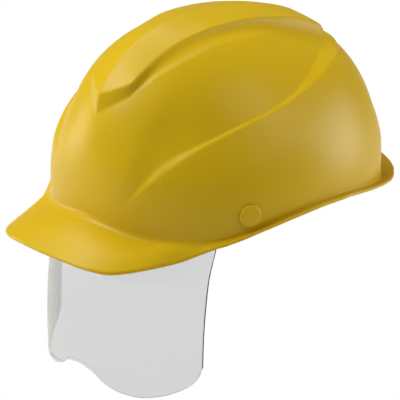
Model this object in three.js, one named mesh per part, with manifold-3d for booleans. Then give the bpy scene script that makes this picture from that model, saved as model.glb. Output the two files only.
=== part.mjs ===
// Cap-type safety helmet with a retractable clear face shield.
// Millimetres, +Z up. The wearer faces -Y and the wearer's left is +X.
// The origin is the centre of the headband, level with the rim above the ears.
import * as THREE from 'three';
import { mergeVertices } from 'three/addons/utils/BufferGeometryUtils.js';
import Module from 'manifold-3d';

const wasm = await Module();
wasm.setup();

// ---------- driving dimensions ----------
const HALF_WIDTH = 99;        // shell wall at rim level, centre to side
const FRONT_REACH = 120.5;    // shell centre to front wall
const REAR_REACH = 122.5;     // shell centre to rear wall
const CROWN_HEIGHT = 110.5;   // rim level to crown, without the ridge
const PLAN_POWER = 2.1;       // plan outline, 2 is an ellipse
const BROW_TRIM = 0.2;        // less of that power above the brow
const CENTRE_Y = -3.5;        // plan centre at rim level
const CENTRE_SHIFT = -27;     // the plan centre moves forward towards the crown
const WALL = 2.4;             // moulded shell wall
const GAP = 0.3;              // space between touching pieces

const COLUMNS = 72;           // shell facets round the head
const COVE_DEPTH = 2.6;       // hollow beside the ridge
const REAR_RECESS = 1.3;      // arched recess in the back
const REAR_BELT = 0.4;        // raised belt below the recess
const PANEL_EDGE = 2.5;       // softness of the recess's edge, each way
const ROUNDING = 0.8;         // rounding of the other moulded edges
const RIM_WIDTH = 5;          // rim flange at the sides
const REAR_RIM_WIDTH = 9.5;   // rim flange at the back
const RIM_THICKNESS = 2.4;
const BRIM_END = -45;         // plan angle where the brim runs into the rim flange
const BRIM_CROWN = 1.6;       // upward bow of the brim

const SWING_Y = 60;           // virtual axis of the shield's guide rails
const SWING_Z = -90;
const SHIELD_RADIUS = 78;     // plan size of the sheet, centre to front and to side
const SHIELD_POWER = 2.2;     // plan outline, 2 is a circle
const SHIELD_BOW = 380;       // vertical radius of the sheet
const SHIELD_FRONT_Y = -131.5;
const SHIELD_BELLY_Z = -105;  // height of the sheet's most forward point
const SHIELD_SETBACK = 3.2;   // the sheet's top lies this much further back
const SHIELD_TOP_Z = 2;
const SHIELD_LOW_Z = -122;
const SHIELD_HALF_WIDTH = 72.3;
const SHIELD_TOP_HALF_WIDTH = 57;
const SHIELD_THICKNESS = 1.2;

const PIN_Y = -61;            // side pin that carries the guide rail
const PIN_Z = 3;
const PIN_HEAD_RADIUS = 7.4;
const PIN_SHANK_RADIUS = 2.5;
const PIN_LENGTH = 11;
const RAIL_X = 62.8;          // inner face of the guide rail
const RAIL_THICKNESS = 3;
const RAIL_RADIUS = 152.6;    // slot centre line about the swing axis
const RAIL_HALF_HEIGHT = 3.7;
const ELBOW_X = 76.5;         // bend of the rail's arm, clear of the sheet's path
const ELBOW_RADIUS = 138.5;
const SLOT_HALF_HEIGHT = 1.9;
const SLIDER_ANGLE = 30.5;      // sliders' place on the rails with the shield down
const SWING_ANGLE = 35;       // travel from down to stored
const RIVET_X = 60;           // rivets through the sheet, side and heights
const RIVET_HEIGHTS = [-9, -14.5];
const RIVET_RADIUS = 1.1;
const SCREW_RADIUS = 1.4;

const BAND_HALF_WIDTH = 73;   // inside of the headband
const BAND_HALF_LENGTH = 94;
const BAND_CENTRE_Y = 6;
const BAND_LOW_Z = -6;
const BAND_HIGH_Z = 22;
const BAND_THICKNESS = 1.4;
const HEAD_HEIGHT = 80;       // crown straps' height above the rim
const STRAP_THICKNESS = 1.1;
const STRAP_WIDTH = 19;
const STRAP_STACK = 3;        // spacing of the crossing straps at the crown
const NAPE_Z = -33;           // height of the ratchet behind the head
const NAPE_HALF_HEIGHT = 8;
const NAPE_TRAVEL = 9;        // forward travel of the nape band
const NAPE_INSET = 1.6;       // space between the nape band and the headband
const NAPE_THICKNESS = 1.4;
const NAPE_STUD_Y = 12;
const KNOB_RADIUS = 12;
const LINER_FRONT_Y = 12;     // the impact liner starts behind the shield's storage space

// plan angle of each strap, and how far up the arch its ends are cut
const STRAPS = [[90, 10.5], [35, -1], [145, -1]];
const HOOK_ANGLES = [10, 52, 128, 170];

// the ridge over the crown, by distance to the back: half width, then heights over the dome
const RIDGE_SIDE = [
  [-106, 15], [-100, 16.5], [-92, 18.2], [-70, 19.8], [-50, 21.2], [-30, 22.5], [0, 22.9], [40, 24.5],
  [70, 26],
];
const RIDGE_CENTRE = [
  [-106, 4.4], [-85, 3.7], [-70, 3.1], [-55, 2.2], [-40, 1.5], [-20, 1.6], [0, 2.2], [40, 3.4],
];
const RIDGE_EDGE = [
  [-100, 4.2], [-88, 2.9], [-70, 1.4], [-50, 1.4], [-30, 2.6], [-10, 3.2], [20, 3.5], [45, 4.2],
];
const RIDGE_FLATTENING = [[-100, 2.8], [-60, 4], [-30, 5.6], [0, 5.2], [40, 4.8]];
const RIDGE_END = [64, 81];
const CREASE = [
  [-104, 13], [-94.8, 21.2], [-82, 26.6], [-70.5, 30.7], [-51, 33.7], [-29, 34.7], [1.6, 35.1], [32.7, 38.1],
  [52, 42], [75, 48],
];

// the ledge that climbs from the brow to the back, by plan angle: upper edge, lower edge and depth
const LEDGE_UPPER = [
  [-82, -6], [-73.5, 11], [-68.7, 24.2], [-65.4, 31.9], [-62.5, 38.6], [-58.7, 42.7], [-51.6, 47.7],
  [-43.8, 51.8], [-29.7, 58.2], [-11, 63.3], [6.2, 67.2], [30.2, 74.3], [52.2, 79.8], [90, 84],
];
const LEDGE_LOWER = [
  [-82, -7], [-73.5, 10.4], [-68.4, 21.4], [-62, 31.7], [-55.4, 40.7], [-48.2, 47.6], [-37.9, 53.5],
  [-22.5, 59], [-5.8, 62.8], [12, 66.6], [30.2, 69.5], [50.8, 73.5], [90, 76.5],
];
const LEDGE_STEP = [[-76, 0], [-66, 1.9], [-58, 2.2], [-46, 1.6], [-10, 1.7], [20, 2.6], [55, 4], [90, 4.2]];

// by plan angle, the height of the rim's root and the rise of its edge; then the brim's edge as [x, y, z]
const RIM_HEIGHT = [
  [-90, -5.5], [-62, -13], [-50, -13.2], [-44, -12.3], [-36, -9.8], [-28.5, -6.5], [-17.5, -2.2],
  [-8, 0.3], [-1, 1.1], [11, 0.4], [20.5, -2.2], [30.5, -6], [40, -10], [52, -13.8], [90, -15],
];
const RIM_RISE = [
  [-45, -0.6], [-38.5, 0.7], [-30, 1.8], [-20, 1.4], [-8, 0.4], [10, -0.2], [25, 0.2], [40, 1.5], [90, 1],
];
const BRIM_EDGE = new THREE.CatmullRomCurve3([
  [0, -162, -17.9], [20, -160.8, -18.2], [38, -157, -19.6], [50, -149.5, -21.4], [56, -140, -21.8],
  [62.5, -125, -21.6], [69.5, -105.5, -20.6], [75.5, -94, -17.2], [81.8, -84.4, -13.3],
].map((p) => new THREE.Vector3(...p)));

// the sheet's lower edge: distance from the middle and height
const SHIELD_EDGE = [
  [0, -108], [12, -110.5], [20, -115.5], [28, -118.8], [36, -120.8], [46, -121.8], [56, -120.3],
  [63, -117.6], [68, -114], [71, -109], [72.3, -101],
];

// ---------- small maths ----------
const degrees = THREE.MathUtils.degToRad;
const clamp01 = (t) => Math.min(1, Math.max(0, t));
const mix = (a, b, t) => a + (b - a) * t;

function smooth(from, to, x) {
  const t = clamp01((x - from) / (to - from));
  return t * t * (3 - 2 * t);
}

// smooth curve through [place, value] pairs in rising order, without overshoot
function through(pairs, x) {
  let k = 0;
  while (k < pairs.length - 2 && x > pairs[k + 1][0]) k += 1;
  const chord = (n) => (pairs[n + 1][1] - pairs[n][1]) / (pairs[n + 1][0] - pairs[n][0]);
  const slope = (n) => {
    if (n === 0 || n === pairs.length - 1) return 0;
    const [a, b] = [chord(n - 1), chord(n)];
    return a * b > 0 ? (2 * a * b) / (a + b) : 0;
  };
  const width = pairs[k + 1][0] - pairs[k][0];
  const t = clamp01((x - pairs[k][0]) / width);
  const rise = pairs[k + 1][1] - pairs[k][1];
  return pairs[k][1] + rise * (3 * t ** 2 - 2 * t ** 3)
    + slope(k) * width * (t - 2 * t ** 2 + t ** 3) + slope(k + 1) * width * (t ** 3 - t ** 2);
}

// ---------- solids ----------
function solidFrom(vertices, triangles) {
  let volume = 0;
  for (const [a, b, c] of triangles) {
    volume += vertices[a].dot(vertices[b].clone().cross(vertices[c])) / 6;
  }
  const geometry = new THREE.BufferGeometry();
  const coordinates = vertices.flatMap((v) => v.toArray());
  geometry.setAttribute('position', new THREE.Float32BufferAttribute(coordinates, 3));
  geometry.setIndex(triangles.flatMap(([a, b, c]) => (volume > 0 ? [a, b, c] : [a, c, b])));
  return geometry;
}

// skin through rings of points: joined round into a loop, or closed with a fan at each end
function loft(rings, looped = false) {
  const count = rings[0].length;
  const vertices = rings.flat();
  const triangles = [];
  const spans = looped ? rings.length : rings.length - 1;
  for (let k = 0; k < spans; k += 1) {
    for (let j = 0; j < count; j += 1) {
      const a = k * count + j;
      const b = k * count + (j + 1) % count;
      const c = ((k + 1) % rings.length) * count + j;
      const d = ((k + 1) % rings.length) * count + (j + 1) % count;
      triangles.push([a, b, d], [a, d, c]);
    }
  }
  if (!looped) {
    for (const [ring, turn] of [[0, false], [rings.length - 1, true]]) {
      const middle = new THREE.Vector3();
      for (const p of rings[ring]) middle.addScaledVector(p, 1 / count);
      vertices.push(middle);
      for (let j = 0; j < count; j += 1) {
        const a = ring * count + j;
        const b = ring * count + (j + 1) % count;
        triangles.push(turn ? [a, b, vertices.length - 1] : [b, a, vertices.length - 1]);
      }
    }
  }
  return solidFrom(vertices, triangles);
}

// plate between two matching grids of points, closed round its four edges
function plate(front, back) {
  const rows = front.length;
  const columns = front[0].length;
  const vertices = [...front.flat(), ...back.flat()];
  const offset = rows * columns;
  const triangles = [];
  for (let k = 0; k < rows - 1; k += 1) {
    for (let j = 0; j < columns - 1; j += 1) {
      const a = k * columns + j;
      const [b, c, d] = [a + 1, a + columns, a + columns + 1];
      triangles.push([a, b, d], [a, d, c]);
      triangles.push([offset + a, offset + d, offset + b], [offset + a, offset + c, offset + d]);
    }
  }
  const edge = [];
  for (let j = 0; j < columns; j += 1) edge.push(j);
  for (let k = 1; k < rows; k += 1) edge.push(k * columns + columns - 1);
  for (let j = columns - 2; j >= 0; j -= 1) edge.push((rows - 1) * columns + j);
  for (let k = rows - 2; k > 0; k -= 1) edge.push(k * columns);
  edge.forEach((a, n) => {
    const b = edge[(n + 1) % edge.length];
    triangles.push([a, offset + b, b], [a, offset + a, offset + b]);
  });
  return solidFrom(vertices, triangles);
}

function asManifold(geometry) {
  const bare = geometry.clone();
  bare.deleteAttribute('normal');
  bare.deleteAttribute('uv');
  const merged = mergeVertices(bare, 1e-4);
  const vertProperties = new Float32Array(merged.attributes.position.array);
  const triVerts = new Uint32Array(merged.index.array);
  return new wasm.Manifold(new wasm.Mesh({ numProp: 3, vertProperties, triVerts }));
}

function asGeometry(manifold) {
  const mesh = manifold.getMesh();
  const geometry = new THREE.BufferGeometry();
  geometry.setAttribute('position', new THREE.BufferAttribute(new Float32Array(mesh.vertProperties), 3));
  geometry.setIndex(Array.from(mesh.triVerts));
  return geometry;
}

// joins the first solid with the others, then cuts away the holes
function carve(solids, holes = []) {
  let body = asManifold(solids[0]);
  for (const solid of solids.slice(1)) body = body.add(asManifold(solid));
  for (const hole of holes) body = body.subtract(asManifold(hole));
  return asGeometry(body);
}

function box(low, high) {
  const size = new THREE.Vector3(...high).sub(new THREE.Vector3(...low));
  const geometry = new THREE.BoxGeometry(size.x, size.y, size.z);
  geometry.translate((low[0] + high[0]) / 2, (low[1] + high[1]) / 2, (low[2] + high[2]) / 2);
  return geometry;
}

function mirrored(geometry) {
  const copy = geometry.clone();
  copy.scale(-1, 1, 1);
  const index = copy.index.array;
  for (let k = 0; k < index.length; k += 3) [index[k + 1], index[k + 2]] = [index[k + 2], index[k + 1]];
  return copy;
}

// ---------- shell surface ----------
function planSection(z) {
  const t = clamp01(z / CROWN_HEIGHT);
  return {
    half: HALF_WIDTH * (1 - t ** 1.75) ** 0.59,
    front: FRONT_REACH * (1 - t ** 2.23) ** 0.568,
    rear: REAR_REACH * (1 - t ** 4) ** 0.526,
    centre: CENTRE_Y + CENTRE_SHIFT * t * t,
  };
}

function basePoint(angle, z) {
  const s = planSection(z);
  const c = Math.cos(angle);
  const n = Math.sin(angle);
  const reach = mix(s.front, s.rear, smooth(-0.7, 0.7, n));
  const power = PLAN_POWER - BROW_TRIM * smooth(25, 60, z) * smooth(0, -0.5, n);
  const r = (Math.abs(c / s.half) ** power + Math.abs(n / reach) ** power) ** (-1 / power);
  return new THREE.Vector3(r * c, s.centre + r * n, z);
}

function baseNormal(angle, z) {
  const da = 0.01;
  const dz = 0.2;
  const around = basePoint(angle + da, z).sub(basePoint(angle - da, z));
  const low = Math.min(z, CROWN_HEIGHT - 2 * dz);
  const upward = basePoint(angle, low + dz).sub(basePoint(angle, low - dz));
  return around.cross(upward).normalize();
}

// plan angle in degrees, -90 at the front, 90 at the back, the same on both sides
function foldedDegrees(angle) {
  return THREE.MathUtils.radToDeg(Math.atan2(Math.sin(angle), Math.abs(Math.cos(angle))));
}

// two flat roof faces that meet over the middle, ended at the front by a V-shaped nose
function ridgeLift(x, y, z) {
  const across = Math.min(1, x / through(RIDGE_SIDE, y));
  const centre = through(RIDGE_CENTRE, y);
  const flattening = through(RIDGE_FLATTENING, y);
  const roof = centre + (through(RIDGE_EDGE, y) - centre - flattening) * across + flattening * across ** 1.7;
  const foot = 62 + 0.75 * x;
  const top = 72 + 0.5 * x;
  return y < -60 ? roof * clamp01((z - foot) / (top - foot)) : roof;
}

function ledgeLift(fold, z) {
  const [lower, upper] = [through(LEDGE_LOWER, fold), through(LEDGE_UPPER, fold)];
  const shelf = clamp01((z - lower) / Math.max(upper - lower, 0.5));
  const fade = 1 - smooth(upper + 4, upper + 42, z) * (1 - smooth(40, 75, fold));
  return -through(LEDGE_STEP, fold) * shelf * fade * (1 - smooth(92, 108, z));
}

// hollow beside the ridge: steep under the ridge's edge, then rising to the crease
function coveLift(x, y, z, along) {
  const depth = COVE_DEPTH * smooth(-104, -86, y) * smooth(90, 60, y);
  return (ridgeLift(through(RIDGE_SIDE, y), y, z) + depth) * (1 - along) ** 3 - depth * (1 - along);
}

// arched recess in the back, with a raised belt below it
function rearPanelLift(x, y, z, fold) {
  const arch = 63 * Math.sqrt(clamp01(1 - (Math.max(z - 14, 0) / 75) ** 3));
  const top = through(LEDGE_LOWER, fold);
  const panel = mix(REAR_BELT, -REAR_RECESS, smooth(15, 22, z));
  return y > 20 ? panel * smooth(arch + PANEL_EDGE, arch - PANEL_EDGE, x) * smooth(top, top - 2, z) : 0;
}

// height of the moulded features over the dome, before their edges are rounded
function sharpLift(point) {
  const [x, y, z] = [Math.abs(point.x), point.y, point.z];
  const fold = THREE.MathUtils.radToDeg(Math.atan2(y - planSection(z).centre, x));
  const ledge = ledgeLift(fold, z);
  const rear = rearPanelLift(x, y, z, fold);
  if (z <= 40) return ledge + rear;
  const side = through(RIDGE_SIDE, y);
  const along = clamp01((x - side) / Math.max(through(CREASE, y) - side, 3));
  const crown = x < side ? ridgeLift(x, y, z) : coveLift(x, y, z, along) + ledge * along;
  return mix(ledge, crown, smooth(RIDGE_END[1], RIDGE_END[0], y)) + rear;
}

// the features averaged over a small disc, so that every edge is rounded
function featureLift(point, normal) {
  const level = new THREE.Vector3(0, 0, 1).addScaledVector(normal, -normal.z);
  if (level.length() < 0.02) level.set(0, 1, 0);
  level.normalize();
  const side = normal.clone().cross(level);
  let total = 2 * sharpLift(point);
  for (let k = 0; k < 8; k += 1) {
    const turn = (k * Math.PI) / 4;
    const near = point.clone().addScaledVector(side, ROUNDING * Math.cos(turn));
    total += sharpLift(near.addScaledVector(level, ROUNDING * Math.sin(turn)));
  }
  return total / 10;
}

function shellPoint(angle, z, depth) {
  const p = basePoint(angle, z);
  const normal = baseNormal(angle, z);
  return p.addScaledVector(normal, featureLift(p, normal) - depth);
}

// ---------- rim and brim ----------
function rimHeight(angle) {
  return through(RIM_HEIGHT, foldedDegrees(angle));
}

function rimEdge(angle) {
  const fold = foldedDegrees(angle);
  if (fold < BRIM_END) {
    const p = BRIM_EDGE.getPointAt((fold + 90) / (BRIM_END + 90));
    return Math.cos(angle) < 0 ? p.setX(-p.x) : p;
  }
  const z = rimHeight(angle);
  const width = mix(RIM_WIDTH, REAR_RIM_WIDTH, smooth(20, 58, fold));
  return shellPoint(angle, z, -width).setZ(z + through(RIM_RISE, fold));
}

// a point on the top or underside between the wall and the outer edge
function rimPoint(angle, share, below) {
  const root = shellPoint(angle, rimHeight(angle), 0);
  const edge = rimEdge(angle);
  const p = root.lerp(edge, share);
  const onBrim = smooth(BRIM_END, BRIM_END - 14, foldedDegrees(angle));
  return p.setZ(p.z + BRIM_CROWN * onBrim * Math.sin(Math.PI * share) - below);
}

function makeShell() {
  const angles = Array.from({ length: COLUMNS }, (_, j) => (2 * Math.PI * (j + 0.5)) / COLUMNS);
  const ring = (place) => angles.map(place);
  const tilts = [3, 8, 15, 22, 29, 36, 43, 50, 56, 62, 68, 74, 80, 85];
  const heights = tilts.map((d) => CROWN_HEIGHT * Math.cos(degrees(d)));
  const outer = heights.map((z) => ring((a) => shellPoint(a, z, 0)));
  outer.push(ring((a) => shellPoint(a, 0.45 * rimHeight(a) + 2, 0)));
  outer.push(ring((a) => shellPoint(a, rimHeight(a) + 1.4, 0)));
  const rim = [
    ring((a) => rimPoint(a, 0.2, 0)),
    ring((a) => rimPoint(a, 0.6, 0)),
    ring((a) => rimPoint(a, 0.96, 0)),
    ring((a) => rimPoint(a, 1, 0.7)),
    ring((a) => rimPoint(a, 1, RIM_THICKNESS - 0.3)),
    ring((a) => rimPoint(a, 0.94, RIM_THICKNESS)),
    ring((a) => rimPoint(a, 0.4, RIM_THICKNESS)),
    ring((a) => shellPoint(a, rimHeight(a) - 1.6, WALL)),
  ];
  const inner = heights.map((z) => ring((a) => shellPoint(a, Math.min(z, CROWN_HEIGHT - 1), WALL))).reverse();
  inner.unshift(ring((a) => shellPoint(a, 0.5 * rimHeight(a) + 1, WALL)));
  return loft([...outer, ...rim, ...inner]);
}

// ---------- face shield ----------
// outward direction of the sheet in plan, and its distance behind the front, by distance from the middle
function shieldPlan(x) {
  const across = Math.abs(x) / SHIELD_RADIUS;
  const reach = (1 - across ** SHIELD_POWER) ** (1 / SHIELD_POWER);
  const power = SHIELD_POWER - 1;
  const outward = new THREE.Vector3(Math.sign(x) * across ** power, -(reach ** power), 0).normalize();
  return { back: SHIELD_RADIUS * (1 - reach), outward };
}

function shieldSurface(x, z, depth) {
  const { back, outward } = shieldPlan(x);
  const bow = (z - SHIELD_BELLY_Z) ** 2 / (2 * SHIELD_BOW) + SHIELD_SETBACK * smooth(-45, -12, z);
  return new THREE.Vector3(x, SHIELD_FRONT_Y + bow + back, z).addScaledVector(outward, -depth);
}

function shieldPoint(across, up, depth) {
  const level = mix(SHIELD_LOW_Z, SHIELD_TOP_Z, up);
  const narrowing = (SHIELD_HALF_WIDTH - SHIELD_TOP_HALF_WIDTH) * smooth(-22, SHIELD_TOP_Z, level);
  const edge = through(SHIELD_EDGE, Math.abs(across) * SHIELD_HALF_WIDTH);
  const z = level + (edge - SHIELD_LOW_Z) * (1 - up) ** 3;
  return shieldSurface(across * (SHIELD_HALF_WIDTH - narrowing), z, depth);
}

const grid = (rows, columns, place) => Array.from({ length: rows + 1 }, (_, k) => (
  Array.from({ length: columns + 1 }, (__, j) => place(j / columns, k / rows))));

function makeFaceShield() {
  const layer = (depth) => grid(11, 28, (u, v) => shieldPoint(2 * u - 1, v, depth));
  return plate(layer(0), layer(SHIELD_THICKNESS));
}

// ---------- guide rails, sliders and side pins, built for the wearer's left ----------
function swingPoint(x, radius, angle) {
  const a = degrees(angle);
  return new THREE.Vector3(x, SWING_Y - radius * Math.cos(a), SWING_Z + radius * Math.sin(a));
}

// flat bar bent round the swing axis, with rounded ends
function arcBar(x0, x1, halfHeight, from, to) {
  const steps = 14;
  const reach = THREE.MathUtils.radToDeg(halfHeight / RAIL_RADIUS);
  const bends = [60, 30, 0, -30, -60].map(degrees);
  const outline = [];
  for (let k = 0; k <= steps; k += 1) outline.push([mix(from, to, k / steps), halfHeight]);
  for (const d of bends) outline.push([to + reach * Math.cos(d), halfHeight * Math.sin(d)]);
  for (let k = steps; k >= 0; k -= 1) outline.push([mix(from, to, k / steps), -halfHeight]);
  for (const d of bends) outline.push([from - reach * Math.cos(d), -halfHeight * Math.sin(d)]);
  const face = (x) => outline.map(([angle, rise]) => swingPoint(x, RAIL_RADIUS + rise, angle));
  return prism(face(x0), face(x1));
}

// solid between two matching plane outlines that share one x each
function prism(near, far) {
  const flat = near.map((p) => new THREE.Vector2(p.y, p.z));
  const count = near.length;
  const triangles = [];
  for (const [a, b, c] of THREE.ShapeUtils.triangulateShape(flat, [])) {
    triangles.push([a, b, c], [count + a, count + c, count + b]);
  }
  const turn = THREE.ShapeUtils.isClockWise(flat);
  for (let j = 0; j < count; j += 1) {
    const k = (j + 1) % count;
    const sides = [[j, count + k, k], [j, count + j, count + k]];
    for (const [a, b, c] of sides) triangles.push(turn ? [a, c, b] : [a, b, c]);
  }
  return solidFrom([...near, ...far], triangles);
}

// round bar with a changing radius: rows are [distance from start, radius]
function rod(start, direction, profile, sides = 12) {
  const axis = direction.clone().normalize();
  const helper = Math.abs(axis.z) < 0.9 ? new THREE.Vector3(0, 0, 1) : new THREE.Vector3(1, 0, 0);
  const u = helper.clone().cross(axis).normalize();
  const v = axis.clone().cross(u);
  return loft(profile.map(([distance, radius]) => Array.from({ length: sides }, (_, j) => {
    const a = (2 * Math.PI * j) / sides;
    return start.clone().addScaledVector(axis, distance)
      .addScaledVector(u, radius * Math.cos(a)).addScaledVector(v, radius * Math.sin(a));
  })));
}

// angle at which the shell's surface has the given y at height z, on the left side
function shellAngleAt(y, z) {
  let [low, high] = [-Math.PI / 2, Math.PI / 2];
  for (let k = 0; k < 40; k += 1) {
    const middle = (low + high) / 2;
    if (basePoint(middle, z).y < y) low = middle;
    else high = middle;
  }
  return low;
}

const pinAngle = shellAngleAt(PIN_Y, PIN_Z);
const pinSeat = shellPoint(pinAngle, PIN_Z, 0);
const pinInward = baseNormal(pinAngle, PIN_Z).negate();

function makeSidePin() {
  const proud = 1.6;
  return rod(pinSeat.clone().addScaledVector(pinInward, -proud - 0.5), pinInward, [
    [0, PIN_HEAD_RADIUS * 0.55], [0.45, PIN_HEAD_RADIUS * 0.9], [0.9, PIN_HEAD_RADIUS],
    [proud, PIN_HEAD_RADIUS], [proud, PIN_SHANK_RADIUS], [proud + PIN_LENGTH, PIN_SHANK_RADIUS],
  ], 32);
}

function pinHole() {
  return rod(pinSeat.clone().addScaledVector(pinInward, -4), pinInward, [
    [0, PIN_SHANK_RADIUS + GAP], [WALL + 8, PIN_SHANK_RADIUS + GAP],
  ], 24);
}

const railEnd = SLIDER_ANGLE + SWING_ANGLE;
const postFoot = swingPoint(RAIL_X + RAIL_THICKNESS + GAP, RAIL_RADIUS - 6.5, railEnd + 2);

function makeGuideRail() {
  const far = RAIL_X + RAIL_THICKNESS;
  const plateSolid = arcBar(RAIL_X, far, RAIL_HALF_HEIGHT, SLIDER_ANGLE - 1.5, railEnd + 2);
  const slot = arcBar(RAIL_X - 1, far + 1, SLOT_HALF_HEIGHT, SLIDER_ANGLE, railEnd);
  const bossFoot = pinSeat.clone().addScaledVector(pinInward, PIN_LENGTH - 2);
  const pinTurn = THREE.MathUtils.radToDeg(Math.atan2(bossFoot.z - SWING_Z, SWING_Y - bossFoot.y));
  const armStart = swingPoint(far - 1.5, RAIL_RADIUS - 5.2, pinTurn);
  const elbow = swingPoint(ELBOW_X, ELBOW_RADIUS, pinTurn);
  const bossEnd = pinSeat.clone().addScaledVector(pinInward, WALL + 2.5);
  const boss = rod(bossFoot, bossEnd.clone().sub(bossFoot), [[0, 4.4], [bossFoot.distanceTo(bossEnd), 4.8]]);
  const socket = rod(bossFoot.clone().addScaledVector(pinInward, 3), pinInward.clone().negate(), [
    [0, PIN_SHANK_RADIUS + GAP], [16, PIN_SHANK_RADIUS + GAP],
  ]);
  const inner = elbow.clone().sub(armStart);
  const innerArm = rod(armStart, inner, [[0, 2.6], [inner.length() + 2, 2.6]]);
  const outer = bossFoot.clone().addScaledVector(pinInward, -2).sub(elbow);
  const outerArm = rod(elbow, outer, [[-2, 2.6], [outer.length(), 3]]);
  const outward = new THREE.Vector3(1, 0, 0);
  const ear = rod(postFoot.clone().setX(RAIL_X), outward, [[0, 4.5], [RAIL_THICKNESS, 4.5]]);
  const earHole = rod(postFoot.clone().setX(RAIL_X - 1), outward, [[0, 1.7], [5, 1.7]]);
  return carve([plateSolid, innerArm, outerArm, boss, ear], [slot, socket, earHole]);
}

function makeRailPost() {
  const outer = shellPoint(shellAngleAt(postFoot.y, postFoot.z), postFoot.z, WALL);
  const length = outer.x - postFoot.x - 3.4;
  const post = rod(postFoot, new THREE.Vector3(1, 0, 0), [[0, 3.6], [length, 3.6]]);
  const bore = rod(postFoot.clone().setX(postFoot.x - 1), new THREE.Vector3(1, 0, 0), [[0, 1.7], [8, 1.7]]);
  return carve([post], [bore]);
}

function makeRailScrew() {
  return rod(postFoot.clone().setX(RAIL_X - 2.1), new THREE.Vector3(1, 0, 0), [
    [0, 2.2], [0.5, 2.9], [2.1 - GAP, 2.9], [2.1 - GAP, SCREW_RADIUS], [9, SCREW_RADIUS],
  ]);
}

// a rivet's line through the sheet: its point on the outer face and its inward direction
function rivetLine(z) {
  return [shieldSurface(RIVET_X, z, 0), shieldPlan(RIVET_X).outward.negate()];
}

function makeRivet(z) {
  const [point, inward] = rivetLine(z);
  return rod(point.clone().addScaledVector(inward, -1.4), inward, [
    [0, 1.4], [0.4, 2], [0.8, 2], [0.8, RIVET_RADIUS], [4.6, RIVET_RADIUS],
  ], 10);
}

function rivetHole(z) {
  const [point, inward] = rivetLine(z);
  const radius = RIVET_RADIUS + GAP;
  return rod(point.clone().addScaledVector(inward, -3), inward, [[0, radius], [8.4, radius]], 8);
}

function makeSlider() {
  const x0 = RAIL_X - 5.2;
  const x1 = RAIL_X - 0.5;
  const corners = (x, top) => [
    [RAIL_RADIUS - 3.4, SLIDER_ANGLE - 2], [RAIL_RADIUS - 3.4, SLIDER_ANGLE + 2],
    [top, SLIDER_ANGLE], [top, SLIDER_ANGLE - 5.2],
  ].map(([radius, angle]) => swingPoint(x, radius, angle));
  const block = prism(corners(x0, RAIL_RADIUS + 17.4), corners(x1, RAIL_RADIUS + 11.6));
  const stud = rod(swingPoint(x1 - 1, RAIL_RADIUS, SLIDER_ANGLE), new THREE.Vector3(1, 0, 0), [
    [0, 1.5], [RAIL_THICKNESS + 2, 1.5],
  ]);
  return carve([block, stud], RIVET_HEIGHTS.map(rivetHole));
}

// ---------- headband, straps and ratchet ----------
function bandPoint(angle, inset, z) {
  const c = Math.cos(angle);
  const n = Math.sin(angle);
  const normal = new THREE.Vector2(c / BAND_HALF_WIDTH, n / BAND_HALF_LENGTH).normalize();
  const x = BAND_HALF_WIDTH * c - inset * normal.x;
  const y = BAND_CENTRE_Y + BAND_HALF_LENGTH * n - inset * normal.y;
  return new THREE.Vector3(x, y, z);
}

// top edge of the headband: it dips beside the shield's guide rails
const BAND_TOP = [
  [-90, BAND_HIGH_Z + 3], [-75, BAND_HIGH_Z], [-62, 6], [-18, 6], [-6, BAND_HIGH_Z - 4],
  [90, BAND_HIGH_Z],
];

function makeHeadband() {
  const rings = Array.from({ length: 60 }, (_, j) => {
    const angle = (2 * Math.PI * j) / 60;
    const top = through(BAND_TOP, foldedDegrees(angle));
    return [[0, BAND_LOW_Z], [-BAND_THICKNESS, BAND_LOW_Z], [-BAND_THICKNESS, top], [0, top]]
      .map(([inset, z]) => bandPoint(angle, inset, z));
  });
  return loft(rings, true);
}

function bandPlate(from, to, columns, inset, thickness, edges) {
  const layer = (depth) => grid(1, columns, (u, v) => {
    const angle = mix(from, to, u);
    const [low, high] = edges(angle);
    return bandPoint(angle, depth, mix(low, high, v));
  });
  return plate(layer(inset), layer(inset + thickness));
}

function makeSweatband() {
  const edges = (angle) => [BAND_LOW_Z + 1, Math.min(12, through(BAND_TOP, foldedDegrees(angle)) - 1)];
  return bandPlate(degrees(-136), degrees(-44), 20, 0.4, 3.6, edges);
}

function makeCrownStrap(turn, start, layer) {
  const angle = degrees(turn);
  const inset = 1.4 + STRAP_STACK * layer;
  const across = new THREE.Vector3(-BAND_HALF_WIDTH * Math.sin(angle), BAND_HALF_LENGTH * Math.cos(angle), 0);
  across.normalize().multiplyScalar(STRAP_WIDTH / 2);
  const surface = (depth) => grid(28, 1, (u, v) => {
    const climb = degrees(mix(start, 180 - start, v));
    const shrink = 1 - (inset + depth) / BAND_HALF_WIDTH;
    const middle = new THREE.Vector3(
      BAND_HALF_WIDTH * Math.cos(angle) * Math.cos(climb) * shrink,
      BAND_CENTRE_Y + BAND_HALF_LENGTH * Math.sin(angle) * Math.cos(climb) * shrink,
      (HEAD_HEIGHT - inset - depth) * Math.sin(climb),
    );
    return middle.addScaledVector(across, 2 * u - 1);
  });
  return plate(surface(0), surface(STRAP_THICKNESS));
}

// box set square to the headband at a plan angle: sizes are [outward from, outward to],
// half width along the band, and [low z, high z]
function bandBlock(angle, outward, halfWidth, heights) {
  const seat = bandPoint(angle, 0, 0);
  const out = bandPoint(angle, -1, 0).sub(seat);
  const along = new THREE.Vector3(-out.y, out.x, 0);
  const rings = heights.map((z) => [[outward[0], -1], [outward[1], -1], [outward[1], 1], [outward[0], 1]]
    .map(([reach, side]) => seat.clone().addScaledVector(out, reach)
      .addScaledVector(along, side * halfWidth).setZ(z)));
  return loft(rings);
}

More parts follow.
